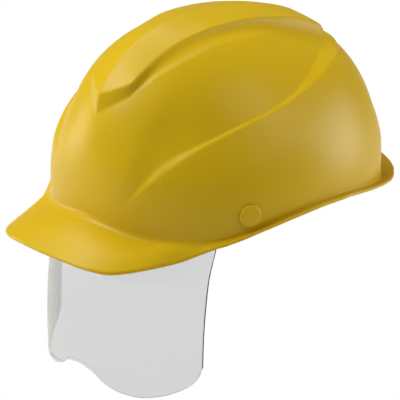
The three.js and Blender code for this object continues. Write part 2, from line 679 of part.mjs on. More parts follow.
function makeHook(turn) {
  const angle = degrees(turn);
  const from = BAND_THICKNESS + GAP;
  let reach = from;
  const farEnough = (r) => {
    const p = bandPoint(angle, -r, 14);
    const s = planSection(14);
    const wall = Math.abs(p.x / (s.half - WALL)) ** PLAN_POWER
      + Math.abs((p.y - s.centre) / ((p.y > s.centre ? s.rear : s.front) - WALL)) ** PLAN_POWER;
    return wall > 0.925;
  };
  while (!farEnough(reach)) reach += 0.5;
  const leg = bandBlock(angle, [from, from + 2.4], 8, [-2, 19]);
  const tab = bandBlock(angle, [from + 1, reach], 6, [12, 15]);
  const tip = bandBlock(angle, [reach - 2.5, reach], 6, [12, 19]);
  return carve([leg, tab, tip]);
}

function napeMiddle(angle) {
  return mix(-12, NAPE_Z, smooth(28, 88, foldedDegrees(angle)));
}

function makeNapeBand() {
  const edges = (angle) => {
    const end = smooth(22, 15, foldedDegrees(angle));
    const middle = napeMiddle(angle);
    const half = mix(5, NAPE_HALF_HEIGHT, smooth(10, 70, foldedDegrees(angle)));
    return [middle - half, mix(middle + half, 12, end)];
  };
  const band = bandPlate(degrees(1), degrees(179), 52, NAPE_INSET, NAPE_THICKNESS, edges);
  const slotY = [NAPE_STUD_Y - 2, NAPE_STUD_Y + 2 + NAPE_TRAVEL];
  const far = BAND_HALF_WIDTH + 5;
  const slots = [-1, 1].map((side) => box([Math.min(side * 60, side * far), slotY[0], 1],
    [Math.max(side * 60, side * far), slotY[1], 5]));
  return carve([band], slots);
}

function makeNapeStud() {
  return rod(new THREE.Vector3(BAND_HALF_WIDTH - 6.6, NAPE_STUD_Y, 3), new THREE.Vector3(1, 0, 0), [
    [0, 2.4], [0.9, 3], [1.8, 3], [1.8, 1.6], [6.6 - 0.7, 1.6],
  ]);
}

const ratchetY = BAND_CENTRE_Y + BAND_HALF_LENGTH;

function makeRatchetHousing() {
  const reach = degrees(17);
  const rounded = (angle) => {
    const t = Math.abs(angle - Math.PI / 2) / reach;
    const half = 11 - 5 * smooth(0.7, 1, t);
    return [NAPE_Z - half, NAPE_Z + half];
  };
  const depth = 7.5 + NAPE_INSET - GAP;
  const housing = bandPlate(Math.PI / 2 - reach, Math.PI / 2 + reach, 14, -7.5, depth, rounded);
  const mouth = new THREE.Vector3(0, ratchetY + 2, NAPE_Z);
  return carve([housing], [rod(mouth, new THREE.Vector3(0, 1, 0), [[0, 8.6], [8, 8.6]], 20)]);
}

function makeRatchetCover() {
  const reach = degrees(18);
  const rounded = (angle) => {
    const t = Math.abs(angle - Math.PI / 2) / reach;
    const half = 12.5 - 5 * smooth(0.6, 1, t);
    return [NAPE_Z - half, NAPE_Z + half];
  };
  const depth = NAPE_INSET + NAPE_THICKNESS + GAP;
  return bandPlate(Math.PI / 2 - reach, Math.PI / 2 + reach, 12, depth, 4, rounded);
}

function makeRatchetKnob() {
  const sides = 48;
  const ring = (y, radius, flute) => Array.from({ length: sides }, (_, j) => {
    const a = (2 * Math.PI * j) / sides;
    const r = radius - (j % 4 === 0 ? flute : 0);
    return new THREE.Vector3(r * Math.cos(a), y, NAPE_Z + r * Math.sin(a));
  });
  const base = ratchetY + 8 + GAP;
  return loft([
    ring(base, KNOB_RADIUS - 0.8, 0.9), ring(base + 1, KNOB_RADIUS, 0.9),
    ring(base + 7, KNOB_RADIUS - 0.4, 0.9), ring(base + 8.5, KNOB_RADIUS - 2.4, 0.3),
  ]);
}

function makeRatchetPinion() {
  const teeth = 12;
  const ring = (y) => Array.from({ length: 4 * teeth }, (_, j) => {
    const a = (2 * Math.PI * (j + 0.5)) / (4 * teeth);
    const r = j % 4 < 2 ? 8 : 6.6;
    return new THREE.Vector3(r * Math.cos(a), y, NAPE_Z + r * Math.sin(a));
  });
  return loft([ring(ratchetY + 2.5 + GAP), ring(ratchetY + 8)]);
}

// ---------- impact liner behind the shield's storage space ----------
function makeImpactLiner() {
  const [low, high] = [30, 97];
  const layer = (depth) => grid(8, 16, (u, v) => {
    const z = mix(low, high, v);
    const s = planSection(z);
    const start = Math.asin(clamp01((LINER_FRONT_Y - s.centre) / s.half));
    const angle = mix(start, Math.PI - start, u);
    return basePoint(angle, z).addScaledVector(baseNormal(angle, z), -depth);
  });
  return plate(layer(WALL + 7.6), layer(WALL + 15));
}

// ---------- assembly ----------
const materials = {
  shell_yellow: new THREE.MeshStandardMaterial({ color: 0xd0ac28, roughness: 0.38, metalness: 0 }),
  clear_sheet: new THREE.MeshStandardMaterial({
    color: 0xe6eaec, roughness: 0.05, metalness: 0, transparent: true, opacity: 0.35,
  }),
  dark_plastic: new THREE.MeshStandardMaterial({ color: 0x2b2d30, roughness: 0.5, metalness: 0 }),
  grey_plastic: new THREE.MeshStandardMaterial({ color: 0x8b8f92, roughness: 0.5, metalness: 0 }),
  steel: new THREE.MeshStandardMaterial({ color: 0xb9bcc0, roughness: 0.35, metalness: 1 }),
  webbing: new THREE.MeshStandardMaterial({ color: 0xe4e4df, roughness: 0.9, metalness: 0 }),
  sweat_cloth: new THREE.MeshStandardMaterial({ color: 0x3a3f46, roughness: 0.95, metalness: 0 }),
  foam: new THREE.MeshStandardMaterial({ color: 0xf1f1ee, roughness: 0.85, metalness: 0 }),
};

const group = new THREE.Group();

function add(name, geometry, material) {
  const mesh = new THREE.Mesh(geometry, materials[material]);
  mesh.name = name;
  group.add(mesh);
}

function addPair(name, geometry, material) {
  add(`${name}_left`, geometry, material);
  add(`${name}_right`, mirrored(geometry), material);
}

add('shell', carve([makeShell()], [pinHole(), mirrored(pinHole())]), 'shell_yellow');
addPair('side_pin', makeSidePin(), 'shell_yellow');
addPair('guide_rail', makeGuideRail(), 'dark_plastic');
addPair('rail_post', makeRailPost(), 'dark_plastic');
addPair('rail_screw', makeRailScrew(), 'steel');

const sheetHoles = RIVET_HEIGHTS.map(rivetHole);
add('face_shield', carve([makeFaceShield()], [...sheetHoles, ...sheetHoles.map(mirrored)]), 'clear_sheet');
addPair('shield_slider', makeSlider(), 'grey_plastic');
RIVET_HEIGHTS.forEach((z, k) => addPair(`shield_rivet_${k + 1}`, makeRivet(z), 'steel'));

add('headband', makeHeadband(), 'dark_plastic');
add('sweatband', makeSweatband(), 'sweat_cloth');
STRAPS.forEach(([turn, start], k) => add(`crown_strap_${k + 1}`, makeCrownStrap(turn, start, k), 'webbing'));
HOOK_ANGLES.forEach((turn, k) => add(`suspension_hook_${k + 1}`, makeHook(turn), 'grey_plastic'));
add('impact_liner', makeImpactLiner(), 'foam');
addPair('nape_stud', makeNapeStud(), 'dark_plastic');
add('nape_band', makeNapeBand(), 'dark_plastic');
add('ratchet_housing', makeRatchetHousing(), 'dark_plastic');
add('ratchet_cover', makeRatchetCover(), 'sweat_cloth');
add('ratchet_knob', makeRatchetKnob(), 'grey_plastic');
add('ratchet_pinion', makeRatchetPinion(), 'grey_plastic');

export default group;
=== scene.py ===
import math

import bmesh
import bpy
import numpy as np
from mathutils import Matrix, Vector


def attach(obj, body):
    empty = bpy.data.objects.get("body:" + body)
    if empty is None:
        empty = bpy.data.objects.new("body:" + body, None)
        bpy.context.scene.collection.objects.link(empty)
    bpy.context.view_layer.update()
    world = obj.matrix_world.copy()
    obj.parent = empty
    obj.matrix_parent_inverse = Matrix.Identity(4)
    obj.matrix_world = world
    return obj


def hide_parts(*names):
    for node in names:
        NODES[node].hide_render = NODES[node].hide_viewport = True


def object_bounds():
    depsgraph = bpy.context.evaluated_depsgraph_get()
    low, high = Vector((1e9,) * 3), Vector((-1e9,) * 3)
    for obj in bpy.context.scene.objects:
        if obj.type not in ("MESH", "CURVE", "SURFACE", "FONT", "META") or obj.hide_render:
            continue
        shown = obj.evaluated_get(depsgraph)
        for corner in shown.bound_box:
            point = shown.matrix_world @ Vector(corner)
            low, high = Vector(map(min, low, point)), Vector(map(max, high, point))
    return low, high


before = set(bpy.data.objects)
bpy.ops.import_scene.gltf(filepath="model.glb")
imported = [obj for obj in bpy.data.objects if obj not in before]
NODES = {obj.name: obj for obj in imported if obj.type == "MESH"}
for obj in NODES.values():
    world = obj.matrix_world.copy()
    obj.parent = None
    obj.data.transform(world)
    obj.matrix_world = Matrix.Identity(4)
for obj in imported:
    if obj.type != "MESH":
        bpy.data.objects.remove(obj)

CAD_LOW, CAD_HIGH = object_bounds()
MM = 0.001

# ---------- driving dimensions, in millimetres ----------
HALF_WIDTH = 99
FRONT_REACH = 120.5
REAR_REACH = 122.5
CROWN_HEIGHT = 110.5
PLAN_POWER = 2.1
BROW_TRIM = 0.2
CENTRE_Y = -3.5
CENTRE_SHIFT = -27
WALL = 2.4

COVE_DEPTH = 2.6
REAR_RECESS = 1.3
REAR_BELT = 0.4
PANEL_EDGE = 1.2
PANEL_FRONT_Y = 20
PANEL_HALF_WIDTH = 63
PANEL_FOOT = 14
PANEL_RISE = 75
ROUNDING = 0.8
RIM_WIDTH = 5
REAR_RIM_WIDTH = 9.5
RIM_THICKNESS = 2.4
BRIM_END = -45
BRIM_CROWN = 1.6

SHIELD_RADIUS = 78
SHIELD_POWER = 2.2
SHIELD_BOW = 380
SHIELD_FRONT_Y = -131.5
SHIELD_BELLY_Z = -105
SHIELD_SETBACK = 3.2
SHIELD_TOP_Z = 2
SHIELD_LOW_Z = -122
SHIELD_HALF_WIDTH = 72.3
SHIELD_TOP_HALF_WIDTH = 57
SHIELD_THICKNESS = 1.2
# the sheet's lower edge: distance from the middle and height
SHIELD_EDGE = [[0, -108], [12, -110.5], [20, -115.5], [28, -118.8], [36, -120.8], [46, -121.8],
               [56, -120.3], [63, -117.6], [68, -114], [71, -109], [72.3, -101]]

PIN_Y = -61
PIN_Z = 3.0
PIN_PROUD = 2.1

BAND_HALF_WIDTH = 73
BAND_HALF_LENGTH = 94
BAND_CENTRE_Y = 6
BAND_LOW_Z = -6
BAND_HIGH_Z = 22
BAND_THICKNESS = 1.4
BAND_TOP = [[-90, BAND_HIGH_Z + 3], [-75, BAND_HIGH_Z], [-62, 6], [-18, 6], [-6, BAND_HIGH_Z - 4],
            [90, BAND_HIGH_Z]]
HEAD_HEIGHT = 80
STRAPS = [[90, 10.5], [35, -1], [145, -1]]
STRAP_WIDTH = 19
STRAP_THICKNESS = 1.1
STRAP_STACK = 3
STRAP_INSET = 1.4
NAPE_Z = -33
LINER_FRONT_Y = 12
LINER_LOW_Z = 30
LINER_HIGH_Z = 97
LINER_DEPTHS = [WALL + 7.6, WALL + 15]
LINER_ROUNDING = 2.2
LINER_EDGE = 3.0
LINER_GROOVES = 7
LINER_GROOVE_DEPTH = 1.6
PAD_SWELL = 0.8

# the ridge over the crown, by distance to the back: half width, then heights over the dome
RIDGE_SIDE = [[-106, 15], [-100, 16.5], [-92, 18.2], [-70, 19.8], [-50, 21.2], [-30, 22.5],
              [0, 22.9], [40, 24.5], [70, 26]]
RIDGE_CENTRE = [[-106, 4.4], [-85, 3.7], [-70, 3.1], [-55, 2.2], [-40, 1.5], [-20, 1.6],
                [0, 2.2], [40, 3.4]]
RIDGE_EDGE = [[-100, 4.2], [-88, 2.9], [-70, 1.4], [-50, 1.4], [-30, 2.6], [-10, 3.2],
              [20, 3.5], [45, 4.2]]
RIDGE_FLATTENING = [[-100, 2.8], [-60, 4], [-30, 5.6], [0, 5.2], [40, 4.8]]
RIDGE_END = [64, 81]
CREASE = [[-104, 13], [-94.8, 21.2], [-82, 26.6], [-70.5, 30.7], [-51, 33.7], [-29, 34.7],
          [1.6, 35.1], [32.7, 38.1], [52, 42], [75, 48]]

# the ledge that climbs from the brow to the back, by plan angle: upper edge, lower edge and depth
LEDGE_UPPER = [[-82, -6], [-73.5, 11], [-68.7, 24.2], [-65.4, 31.9], [-62.5, 38.6], [-58.7, 42.7],
               [-51.6, 47.7], [-43.8, 51.8], [-29.7, 58.2], [-11, 63.3], [6.2, 67.2], [30.2, 74.3],
               [52.2, 79.8], [90, 84]]
LEDGE_LOWER = [[-82, -7], [-73.5, 10.4], [-68.4, 21.4], [-62, 31.7], [-55.4, 40.7], [-48.2, 47.6],
               [-37.9, 53.5], [-22.5, 59], [-5.8, 62.8], [12, 66.6], [30.2, 69.5], [50.8, 73.5],
               [90, 76.5]]
LEDGE_STEP = [[-76, 0], [-66, 1.9], [-58, 2.2], [-46, 1.6], [-10, 1.7], [20, 2.6], [55, 4], [90, 4.2]]

# by plan angle, the height of the rim's root and the rise of its edge; then the brim's edge
RIM_HEIGHT = [[-90, -5.5], [-62, -13], [-50, -13.2], [-44, -12.3], [-36, -9.8], [-28.5, -6.5],
              [-17.5, -2.2], [-8, 0.3], [-1, 1.1], [11, 0.4], [20.5, -2.2], [30.5, -6], [40, -10],
              [52, -13.8], [90, -15]]
RIM_RISE = [[-45, -0.6], [-38.5, 0.7], [-30, 1.8], [-20, 1.4], [-8, 0.4], [10, -0.2], [25, 0.2],
            [40, 1.5], [90, 1]]
BRIM_EDGE = [
    [0, -162, -17.9], [20, -160.8, -18.2], [38, -157, -19.6], [50, -149.5, -21.4], [56, -140, -21.8],
    [62.5, -125, -21.6], [69.5, -105.5, -20.6], [75.5, -94, -17.2], [81.8, -84.4, -13.3],
]


# ---------- small maths ----------
def mix(a, b, t):
    return a + (b - a) * t


def clamp01(t):
    return np.clip(t, 0, 1)


def smooth(start, end, x):
    t = clamp01((x - start) / (end - start))
    return t * t * (3 - 2 * t)


def through(pairs, x):
    """Smooth curve through [place, value] pairs in rising order, without overshoot."""
    xs, ys = np.array(pairs, dtype=float).T
    chords = np.diff(ys) / np.diff(xs)
    slopes = np.zeros(len(xs))
    for k in range(1, len(xs) - 1):
        a, b = chords[k - 1], chords[k]
        slopes[k] = 2 * a * b / (a + b) if a * b > 0 else 0
    k = np.clip(np.searchsorted(xs, x) - 1, 0, len(xs) - 2)
    width = xs[k + 1] - xs[k]
    t = clamp01((x - xs[k]) / width)
    rise = ys[k + 1] - ys[k]
    return (ys[k] + slopes[k] * width * (t - 2 * t**2 + t**3)
            + rise * (3 * t**2 - 2 * t**3) + slopes[k + 1] * width * (t**3 - t**2))


# ---------- shell surface ----------
def plan_section(z):
    t = clamp01(z / CROWN_HEIGHT)
    half = HALF_WIDTH * (1 - t**1.75) ** 0.59
    front = FRONT_REACH * (1 - t**2.23) ** 0.568
    rear = REAR_REACH * (1 - t**4) ** 0.526
    return half, front, rear, CENTRE_Y + CENTRE_SHIFT * t * t


def base_point(angle, z):
    half, front, rear, centre = plan_section(z)
    c, n = np.cos(angle), np.sin(angle)
    reach = mix(front, rear, smooth(-0.7, 0.7, n))
    power = PLAN_POWER - BROW_TRIM * smooth(25, 60, z) * smooth(0, -0.5, n)
    r = (np.abs(c / half) ** power + np.abs(n / reach) ** power) ** (-1 / power)
    return np.stack([r * c, centre + r * n, z + 0 * r], axis=-1)


def base_normal(angle, z):
    da, dz = 0.01, 0.2
    around = base_point(angle + da, z) - base_point(angle - da, z)
    low = np.minimum(z, CROWN_HEIGHT - 2 * dz)
    upward = base_point(angle, low + dz) - base_point(angle, low - dz)
    normal = np.cross(around, upward)
    return normal / np.linalg.norm(normal, axis=-1, keepdims=True)


def folded_degrees(angle):
    """Plan angle in degrees, -90 at the front and 90 at the back, the same on both sides."""
    return np.degrees(np.arctan2(np.sin(angle), np.abs(np.cos(angle))))


def ridge_lift(x, y, z):
    """Two flat roof faces that meet over the middle, ended at the front by a V-shaped nose."""
    centre, edge, flattening = (through(table, y) for table in (RIDGE_CENTRE, RIDGE_EDGE, RIDGE_FLATTENING))
    across = np.minimum(1, x / through(RIDGE_SIDE, y))
    roof = centre + (edge - centre - flattening) * across + flattening * across**1.7
    foot, top = 62 + 0.75 * x, 72 + 0.5 * x
    nose = np.where(y < -60, clamp01((z - foot) / (top - foot)), 1)
    return roof * nose


def ledge_lift(fold, z):
    upper = through(LEDGE_UPPER, fold)
    fade = 1 - smooth(upper + 4, upper + 42, z) * (1 - smooth(40, 75, fold))
    fade = fade * (1 - smooth(92, 108, z))
    return -through(LEDGE_STEP, fold) * smooth_ramp(through(LEDGE_LOWER, fold), upper, z) * fade


def smooth_ramp(start, end, x):
    """Straight ramp from 0 to 1, for a flat shelf with crisp edges."""
    return clamp01((x - start) / np.maximum(end - start, 0.5))


def cove_lift(x, y, z):
    """Hollow beside the ridge: steep under the ridge's edge, then rising to the crease."""
    side = through(RIDGE_SIDE, y)
    along = clamp01((x - side) / np.maximum(through(CREASE, y) - side, 3))
    depth = COVE_DEPTH * smooth(-104, -86, y) * smooth(90, 60, y)
    edge = ridge_lift(side, y, z)
    return (edge + depth) * (1 - along) ** 3 - depth * (1 - along), along


def rear_panel_lift(x, y, z, fold):
    """Arched recess in the back, with a raised belt below it."""
    arch = PANEL_HALF_WIDTH * np.sqrt(clamp01(1 - (np.maximum(z - PANEL_FOOT, 0) / PANEL_RISE) ** 3))
    top = through(LEDGE_LOWER, fold)
    panel = mix(REAR_BELT, -REAR_RECESS, smooth(15, 22, z))
    inside = smooth(arch + PANEL_EDGE, arch - PANEL_EDGE, x) * smooth(top, top - 2, z)
    return np.where(y > PANEL_FRONT_Y, panel * inside, 0)


def sharp_lift(point):
    x, y, z = np.abs(point[..., 0]), point[..., 1], point[..., 2]
    centre = plan_section(z)[3]
    fold = np.degrees(np.arctan2(y - centre, x))
    ledge = ledge_lift(fold, z)
    cove, along = cove_lift(x, y, z)
    crown = np.where(x < through(RIDGE_SIDE, y), ridge_lift(x, y, z), cove + ledge * along)
    share = smooth(RIDGE_END[1], RIDGE_END[0], y) * (z > 40)
    return share * crown + (1 - share) * ledge + rear_panel_lift(x, y, z, fold)


def feature_lift(point, normal):
    """Height of the moulded features over the dome, averaged nearby so that every edge is rounded."""
    level = np.array([0, 0, 1.0]) - normal * normal[..., 2:3]
    length = np.linalg.norm(level, axis=-1, keepdims=True)
    level = np.where(length > 0.02, level / np.maximum(length, 0.02), np.array([0, 1.0, 0]))
    side = np.cross(normal, level)
    total = 2 * sharp_lift(point)
    for turn in np.arange(8) * math.pi / 4:
        total = total + sharp_lift(point + ROUNDING * (math.cos(turn) * side + math.sin(turn) * level))
    return total / 10


def shell_point(angle, z, depth):
    p, normal = base_point(angle, z), base_normal(angle, z)
    return p + normal * (feature_lift(p, normal) - depth)[..., None]


# ---------- rim and brim ----------
def brim_curve(steps=25):
    """Points along the brim's edge, evenly spaced, through the given points."""
    points = np.array(BRIM_EDGE, dtype=float)
    points = np.vstack([2 * points[0] - points[1], points, 2 * points[-1] - points[-2]])
    line = []
    for k in range(1, len(points) - 2):
        p0, p1, p2, p3 = points[k - 1 : k + 3]
        d0, d1, d2 = (np.linalg.norm(b - a) ** 0.5 for a, b in ((p0, p1), (p1, p2), (p2, p3)))
        m1 = ((p1 - p0) / d0 - (p2 - p0) / (d0 + d1) + (p2 - p1) / d1) * d1
        m2 = ((p2 - p1) / d1 - (p3 - p1) / (d1 + d2) + (p3 - p2) / d2) * d1
        for s in range(steps):
            t = s / steps
            line.append((2 * t**3 - 3 * t**2 + 1) * p1 + (t**3 - 2 * t**2 + t) * m1
                        + (3 * t**2 - 2 * t**3) * p2 + (t**3 - t**2) * m2)
    line.append(points[-2])
    line = np.array(line)
    along = np.concatenate([[0], np.cumsum(np.linalg.norm(np.diff(line, axis=0), axis=1))])
    return line, along / along[-1]


BRIM_LINE, BRIM_ALONG = brim_curve()


def rim_height(angle):
    return through(RIM_HEIGHT, folded_degrees(angle))


def rim_edge(angle):
    fold = folded_degrees(angle)
    place = clamp01((fold + 90) / (BRIM_END + 90))
    brim = np.stack([np.interp(place, BRIM_ALONG, BRIM_LINE[:, k]) for k in range(3)], axis=-1)
    brim[..., 0] *= np.where(np.cos(angle) < 0, -1, 1)
    z = rim_height(angle)
    width = mix(RIM_WIDTH, REAR_RIM_WIDTH, smooth(20, 58, fold))
    flange = shell_point(angle, z, -width)
    flange[..., 2] = z + through(RIM_RISE, fold)
    return np.where((fold < BRIM_END)[..., None], brim, flange)


def root_fillet(angle):
    """Radius where the wall meets the flange, larger over the brim."""
    return mix(0.9, 3.6, smooth(BRIM_END + 4, BRIM_END - 12, folded_degrees(angle)))


def rim_rows(angle):
    """Rings from the wall out over the flange or brim, round its lip and back underneath."""
    fold = folded_degrees(angle)
    root = shell_point(angle, rim_height(angle), 0)
    edge = rim_edge(angle)
    width = np.linalg.norm((edge - root)[..., :2], axis=-1)
    fillet = np.minimum(root_fillet(angle), 0.4 * width)
    lip = RIM_THICKNESS / 2
    crown = BRIM_CROWN * smooth(BRIM_END, BRIM_END - 14, fold)

    def ring(share, rise):
        p = root + (edge - root) * share[..., None]
        p[..., 2] += crown * np.sin(math.pi * share) + rise
        return p

    rows = []
    for turn in np.linspace(0, math.pi / 2, 7):
        rows.append(ring(fillet * (1 - math.cos(turn)) / width, fillet * (1 - math.sin(turn))))
    start, end = fillet / width, 1 - lip / width
    for t in np.linspace(0, 1, 26)[1:-1]:
        rows.append(ring(mix(start, end, t), 0 * width))
    for turn in np.linspace(math.pi / 2, -math.pi / 2, 11):
        rows.append(ring(1 - lip * (1 - math.cos(turn)) / width, -lip * (1 - math.sin(turn)) + 0 * width))
    for t in np.linspace(1, 0.04, 16)[1:]:
        rows.append(ring(t * end, -RIM_THICKNESS + 0 * width))
    return rows


# ---------- meshes ----------
def mesh_from(name, vertices, faces, material, body):
    mesh = bpy.data.meshes.new(name)
    mesh.from_pydata((np.asarray(vertices) * MM).tolist(), [], faces)
    mesh.validate()
    mesh.polygons.foreach_set("use_smooth", [True] * len(mesh.polygons))
    obj = bpy.data.objects.new(name, mesh)
    bpy.context.scene.collection.objects.link(obj)
    obj.data.materials.append(material)
    if body:
        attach(obj, body)
    return obj


def ring_faces(rows, columns, looped=False):
    """Quads between rings of points; looped joins the last ring to the first."""
    k, j = np.meshgrid(np.arange(rows if looped else rows - 1), np.arange(columns), indexing="ij")
    nxt, right = (k + 1) % rows, (j + 1) % columns
    corners = [k * columns + j, k * columns + right, nxt * columns + right, nxt * columns + j]
    return np.stack(corners, axis=-1).reshape(-1, 4).tolist()


def outward(obj):
    """Turns every face's normal outwards."""
    work = bmesh.new()
    work.from_mesh(obj.data)
    bmesh.ops.recalc_face_normals(work, faces=work.faces)
    work.to_mesh(obj.data)
    work.free()
    return obj


def plate_object(name, front, back, material, body):
    """Closed plate between two matching grids of points."""
    rows, columns = front.shape[:2]
    offset = rows * columns
    faces = []
    for k in range(rows - 1):
        for j in range(columns - 1):
            a = k * columns + j
            faces.append([a, a + 1, a + columns + 1, a + columns])
            faces.append([offset + n for n in (a, a + columns, a + columns + 1, a + 1)])
    edge = list(range(columns))
    edge += [k * columns + columns - 1 for k in range(1, rows)]
    edge += [(rows - 1) * columns + j for j in range(columns - 2, -1, -1)]
    edge += [k * columns for k in range(rows - 2, 0, -1)]
    for n, a in enumerate(edge):
        b = edge[(n + 1) % len(edge)]
        faces.append([a, offset + a, offset + b, b])
    vertices = np.concatenate([front.reshape(-1, 3), back.reshape(-1, 3)])
    return outward(mesh_from(name, vertices, faces, material, body))


def turned_object(name, start, axis, profile, material, body, sides=72):
    """Turned piece: profile rows are (distance along the axis, radius)."""
    axis = np.array(axis) / np.linalg.norm(axis)
    helper = np.array([0, 0, 1.0]) if abs(axis[2]) < 0.9 else np.array([1.0, 0, 0])
    u = np.cross(helper, axis)
    u /= np.linalg.norm(u)
    v = np.cross(axis, u)
    turn = np.arange(sides) * 2 * math.pi / sides
    around = np.cos(turn)[:, None] * u + np.sin(turn)[:, None] * v
    rings = [start + axis * d + r * around for d, r in profile]
    vertices = np.concatenate(rings)
    faces = ring_faces(len(rings), sides)
    faces.append(list(range(sides))[::-1])
    faces.append([(len(rings) - 1) * sides + j for j in range(sides)])
    return outward(mesh_from(name, vertices, faces, material, body))


# ---------- materials ----------
def new_material(name, colour, roughness, **sockets):
    material = bpy.data.materials.new(name)
    material.use_nodes = True
    shader = material.node_tree.nodes["Principled BSDF"]
    shader.inputs["Base Color"].default_value = (*colour, 1)
    shader.inputs["Roughness"].default_value = roughness
    for socket, value in sockets.items():
        shader.inputs[socket.replace("_", " ")].default_value = value
    return material, material.node_tree, shader


def add_node(tree, kind, links=(), **values):
    node = tree.nodes.new(kind)
    for key, value in values.items():
        if hasattr(node, key):
            setattr(node, key, value)
        else:
            node.inputs[key.replace("_", " ")].default_value = value
    for source, socket in links:
        tree.links.new(source, node.inputs[socket])
    return node


def object_place(tree):
    return add_node(tree, "ShaderNodeTexCoord").outputs["Object"]


def noise(tree, scale, detail=3.0):
    return add_node(tree, "ShaderNodeTexNoise", [(object_place(tree), "Vector")], Scale=scale, Detail=detail)


def ramp(tree, source, stops):
    node = add_node(tree, "ShaderNodeValToRGB", [(source, "Fac")])
    elements = node.color_ramp.elements
    elements[0].position, elements[1].position = stops[0][0], stops[-1][0]
    elements[0].color, elements[1].color = (*stops[0][1], 1), (*stops[-1][1], 1)
    for position, colour in stops[1:-1]:
        elements.new(position).color = (*colour, 1)
    return node.outputs["Color"]


def add_bump(tree, shader, height, strength, distance):
    bump = add_node(tree, "ShaderNodeBump", [(height, "Height")], Strength=strength, Distance=distance)
    tree.links.new(bump.outputs["Normal"], shader.inputs["Normal"])


def vary_roughness(tree, shader, source, low, high):
    spread = add_node(tree, "ShaderNodeMapRange", [(source, "Value")], To_Min=low, To_Max=high)
    tree.links.new(spread.outputs["Result"], shader.inputs["Roughness"])


def shell_material():
    material, tree, shader = new_material("shell_yellow", (0.72, 0.46, 0.004), 0.36,
                                         Specular_IOR_Level=0.3)
    broad = noise(tree, 9.0, 2.0)
    colour = ramp(tree, broad.outputs["Fac"], [(0.3, (0.70, 0.445, 0.004)), (0.7, (0.74, 0.475, 0.005))])
    tree.links.new(colour, shader.inputs["Base Color"])
    fine = noise(tree, 1400.0, 4.0)
    vary_roughness(tree, shader, fine.outputs["Fac"], 0.30, 0.42)
    add_bump(tree, shader, fine.outputs["Fac"], 0.12, 0.0002)
    return material


def clear_material():
    material, tree, shader = new_material(
        "clear_sheet", (0.66, 0.665, 0.67), 0.03, Transmission_Weight=1.0, IOR=1.49)
    faint = noise(tree, 60.0, 2.0)
    vary_roughness(tree, shader, faint.outputs["Fac"], 0.02, 0.045)
    return material


def moulded_material(name, colour, roughness):
    material, tree, shader = new_material(name, colour, roughness)
    lighter = tuple(min(1, c * 1.18 + 0.004) for c in colour)
    broad = noise(tree, 40.0, 3.0)
    tint = ramp(tree, broad.outputs["Fac"], [(0.35, colour), (0.65, lighter)])
    tree.links.new(tint, shader.inputs["Base Color"])
    fine = noise(tree, 1800.0, 3.0)
    vary_roughness(tree, shader, fine.outputs["Fac"], roughness - 0.07, roughness + 0.07)
    add_bump(tree, shader, fine.outputs["Fac"], 0.25, 0.0002)
    return material


def steel_material():
    material, tree, shader = new_material("steel", (0.62, 0.63, 0.65), 0.3, Metallic=1.0)
    brushed = noise(tree, 700.0, 4.0)
    vary_roughness(tree, shader, brushed.outputs["Fac"], 0.22, 0.42)
    add_bump(tree, shader, brushed.outputs["Fac"], 0.1, 0.0001)
    return material


def weave_material(name, light, dark, pitch, roughness):
    """Woven cloth: two crossed bands of waves, as fine as the threads."""
    material, tree, shader = new_material(name, light, roughness, Sheen_Weight=0.25)
    place = object_place(tree)
    waves = []
    for direction in ("X", "Y", "Z"):
        waves.append(add_node(tree, "ShaderNodeTexWave", [(place, "Vector")], bands_direction=direction,
                              Scale=1 / (pitch * 2 * math.pi) * 0.5, Distortion=0.4))
    first = add_node(tree, "ShaderNodeMath", operation="MULTIPLY")
    tree.links.new(waves[0].outputs["Fac"], first.inputs[0])
    tree.links.new(waves[1].outputs["Fac"], first.inputs[1])
    both = add_node(tree, "ShaderNodeMath", operation="ADD")
    tree.links.new(first.outputs["Value"], both.inputs[0])
    tree.links.new(waves[2].outputs["Fac"], both.inputs[1])
    tint = ramp(tree, both.outputs["Value"], [(0.2, dark), (1.0, light)])
    tree.links.new(tint, shader.inputs["Base Color"])
    add_bump(tree, shader, both.outputs["Value"], 0.6, 0.0003)
    return material


def foam_material():
    material, tree, shader = new_material("foam", (0.86, 0.86, 0.83), 0.8)
    beads = add_node(tree, "ShaderNodeTexVoronoi", [(object_place(tree), "Vector")], Scale=330.0)
    stops = [(0.1, (0.90, 0.90, 0.88)), (0.8, (0.74, 0.74, 0.71))]
    tree.links.new(ramp(tree, beads.outputs["Distance"], stops), shader.inputs["Base Color"])
    add_bump(tree, shader, beads.outputs["Distance"], 0.35, 0.0006)
    return material


MATERIALS = {
    "shell_yellow": shell_material(),
    "clear_sheet": clear_material(),
    "dark_plastic": moulded_material("dark_plastic", (0.022, 0.024, 0.027), 0.48),
    "grey_plastic": moulded_material("grey_plastic", (0.25, 0.26, 0.27), 0.45),
    "steel": steel_material(),
    "webbing": weave_material("webbing", (0.78, 0.77, 0.73), (0.5, 0.49, 0.46), 0.0009, 0.85),
    "sweat_cloth": weave_material("sweat_cloth", (0.06, 0.066, 0.075), (0.02, 0.022, 0.026), 0.0007, 0.95),
    "foam": foam_material(),
}


def dress_cad_nodes():
    """Gives every CAD node the material of its own slot."""
    for node in NODES.values():
        for n, entry in enumerate(node.material_slots):
            key = entry.material.name.split(".")[0] if entry.material else ""
            if key in MATERIALS:
                node.material_slots[n].material = MATERIALS[key]


# ---------- camera, floor and light ----------
CAMERA_AZIMUTH = math.radians(46)
CAMERA_ELEVATION = math.radians(22)
CAMERA_DISTANCE = 1.4
CAMERA_LENS = 184
SENSOR_WIDTH = 36
CAMERA_TARGET = Vector((-0.0028, -0.0173, -0.0248))


